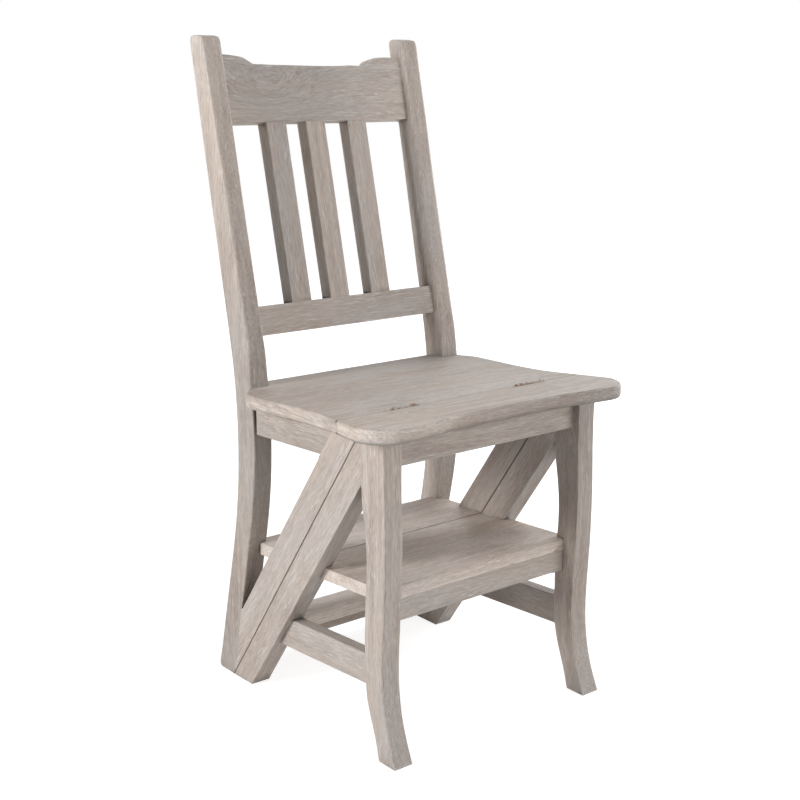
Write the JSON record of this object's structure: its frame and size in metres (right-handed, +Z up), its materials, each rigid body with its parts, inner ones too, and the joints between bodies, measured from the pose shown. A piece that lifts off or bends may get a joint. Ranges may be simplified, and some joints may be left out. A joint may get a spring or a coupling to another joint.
{
  "type": "side chair",
  "caption": "Washed hardwood slat-back side chair whose rear half turns over on two hinges across the seat to become library steps.",
  "frame": {"origin": "on the floor, under the middle of the chair's bounding box", "axes": "+X towards the chair's right as seen in the picture, +Y to the rear (the back), +Z up"},
  "size_m": [0.4758, 0.4836, 0.9106],
  "materials": {
    "washed_wood": "whitewashed, matt",
    "hinge_metal": "aged, dark"
  },
  "bodies": {
    "front_frame": {"seat_front_board": "washed_wood", "front_apron": "washed_wood", "mid_step_front_board": "washed_wood", "mid_step_front_rail": "washed_wood", "front_leg_left": "washed_wood", "front_stringer_left": "washed_wood", "side_stretcher_left": "washed_wood", "front_leg_right": "washed_wood", "front_stringer_right": "washed_wood", "side_stretcher_right": "washed_wood", "hinge_front_leaf_left": "hinge_metal", "hinge_pin_left": "hinge_metal", "front_screw_left_1": "hinge_metal", "front_screw_left_2": "hinge_metal", "front_screw_left_3": "hinge_metal", "hinge_front_leaf_right": "hinge_metal", "hinge_pin_right": "hinge_metal", "front_screw_right_1": "hinge_metal", "front_screw_right_2": "hinge_metal", "front_screw_right_3": "hinge_metal"},
    "rear_frame": {"seat_rear_board": "washed_wood", "rear_apron": "washed_wood", "mid_step_rear_board": "washed_wood", "low_step_board": "washed_wood", "low_step_rail": "washed_wood", "lower_back_rail": "washed_wood", "crest_rail": "washed_wood", "back_slat_left": "washed_wood", "back_slat_centre": "washed_wood", "back_slat_right": "washed_wood", "rear_post_left": "washed_wood", "rear_stringer_left": "washed_wood", "side_apron_left": "washed_wood", "rear_post_right": "washed_wood", "rear_stringer_right": "washed_wood", "side_apron_right": "washed_wood", "hinge_rear_leaf_left": "hinge_metal", "rear_screw_left_1": "hinge_metal", "rear_screw_left_2": "hinge_metal", "rear_screw_left_3": "hinge_metal", "hinge_rear_leaf_right": "hinge_metal", "rear_screw_right_1": "hinge_metal", "rear_screw_right_2": "hinge_metal", "rear_screw_right_3": "hinge_metal"}
  },
  "joints": [
    {"name": "ladder_fold", "type": "hinge", "parent": "front_frame", "child": "rear_frame", "pos_m": [0, -0.14147, 0.45527], "axis": [1, 0, 0], "range_deg": [0, 180]}
  ]
}
